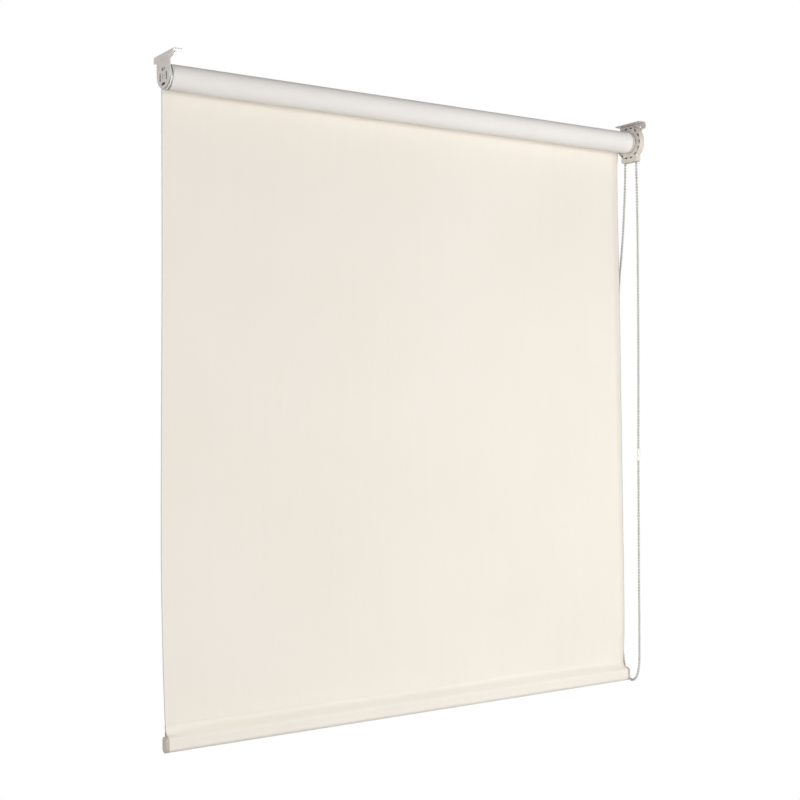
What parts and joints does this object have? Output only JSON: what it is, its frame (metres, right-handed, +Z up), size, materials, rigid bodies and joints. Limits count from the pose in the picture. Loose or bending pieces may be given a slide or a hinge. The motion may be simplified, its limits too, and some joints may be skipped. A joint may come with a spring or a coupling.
{
  "type": "roller blind",
  "caption": "Chain-operated roller blind: screen cloth on a tube between two angle brackets, with a bead-chain clutch at one end and a weighted bar in the hem.",
  "frame": {"origin": "middle of the four ceiling screw holes, on the top faces of the bracket flanges", "axes": "+X along the roller from the idle end to the chain end, +Y to the wall, +Z up to the ceiling"},
  "size_m": [1.026, 0.0872, 1.1222],
  "materials": {
    "bracket_steel": "thin pale coat on bent steel plate",
    "ivory_plastic": "satin moulded plastic",
    "screen_cloth": "cream coated screen cloth with a fine plain weave",
    "aluminium": "extruded, plain",
    "spring_steel": "bright steel",
    "cap_plastic": "satin moulded plastic",
    "bead_plastic": "moulded beads",
    "tape": "double-sided tape"
  },
  "bodies": {
    "mounting": {"left_bracket": "bracket_steel", "right_bracket": "bracket_steel", "clutch_housing": "ivory_plastic", "clutch_cover": "ivory_plastic", "clutch_shaft": "aluminium", "clutch_washer": "spring_steel", "clutch_screw": "spring_steel", "bead_chain": "bead_plastic", "chain_cord": "bead_plastic", "chain_connector": "ivory_plastic", "cloth_panel": "screen_cloth"},
    "roller": {"roller_tube": "aluminium", "cloth_roll": "screen_cloth", "fixing_tape": "tape", "idle_plug": "ivory_plastic", "idle_seat": "ivory_plastic", "idle_spring": "spring_steel", "drive_core": "ivory_plastic", "brake_spring_outer": "spring_steel", "brake_spring_inner": "spring_steel"},
    "chain_wheel": {"sprocket": "ivory_plastic"},
    "pin": {"idle_pin": "spring_steel"},
    "bottom_rail": {"bottom_bar": "aluminium", "hem_pocket": "screen_cloth", "bar_cap_left": "cap_plastic", "bar_cap_right": "cap_plastic"}
  },
  "joints": [
    {"name": "roller_spin", "type": "hinge", "parent": "mounting", "child": "roller", "pos_m": [0, 0, -0.039], "axis": [1, 0, 0], "range_deg": [0, 2452.5]},
    {"name": "chain_wheel_spin", "type": "hinge", "parent": "mounting", "child": "chain_wheel", "pos_m": [0, 0, -0.039], "axis": [1, 0, 0], "range_deg": [0, 2452.5], "deforming": ["bead_chain", "chain_cord"]},
    {"name": "bar_lift", "type": "slide", "parent": "mounting", "child": "bottom_rail", "axis": [0, 0, 1], "range_m": [0, 1], "deforming": ["cloth_panel"]},
    {"name": "idle_pin_press", "type": "slide", "parent": "roller", "child": "pin", "axis": [1, 0, 0], "range_m": [0, 0.007], "stiffness_N_per_m": 400, "springref_m": -0.006, "deforming": ["idle_spring"]}
  ],
  "couplings": [
    {"joint": "chain_wheel_spin", "follows": "roller_spin", "ratio": 1},
    {"joint": "bar_lift", "follows": "roller_spin", "m_per_rad": 0.02336}
  ]
}
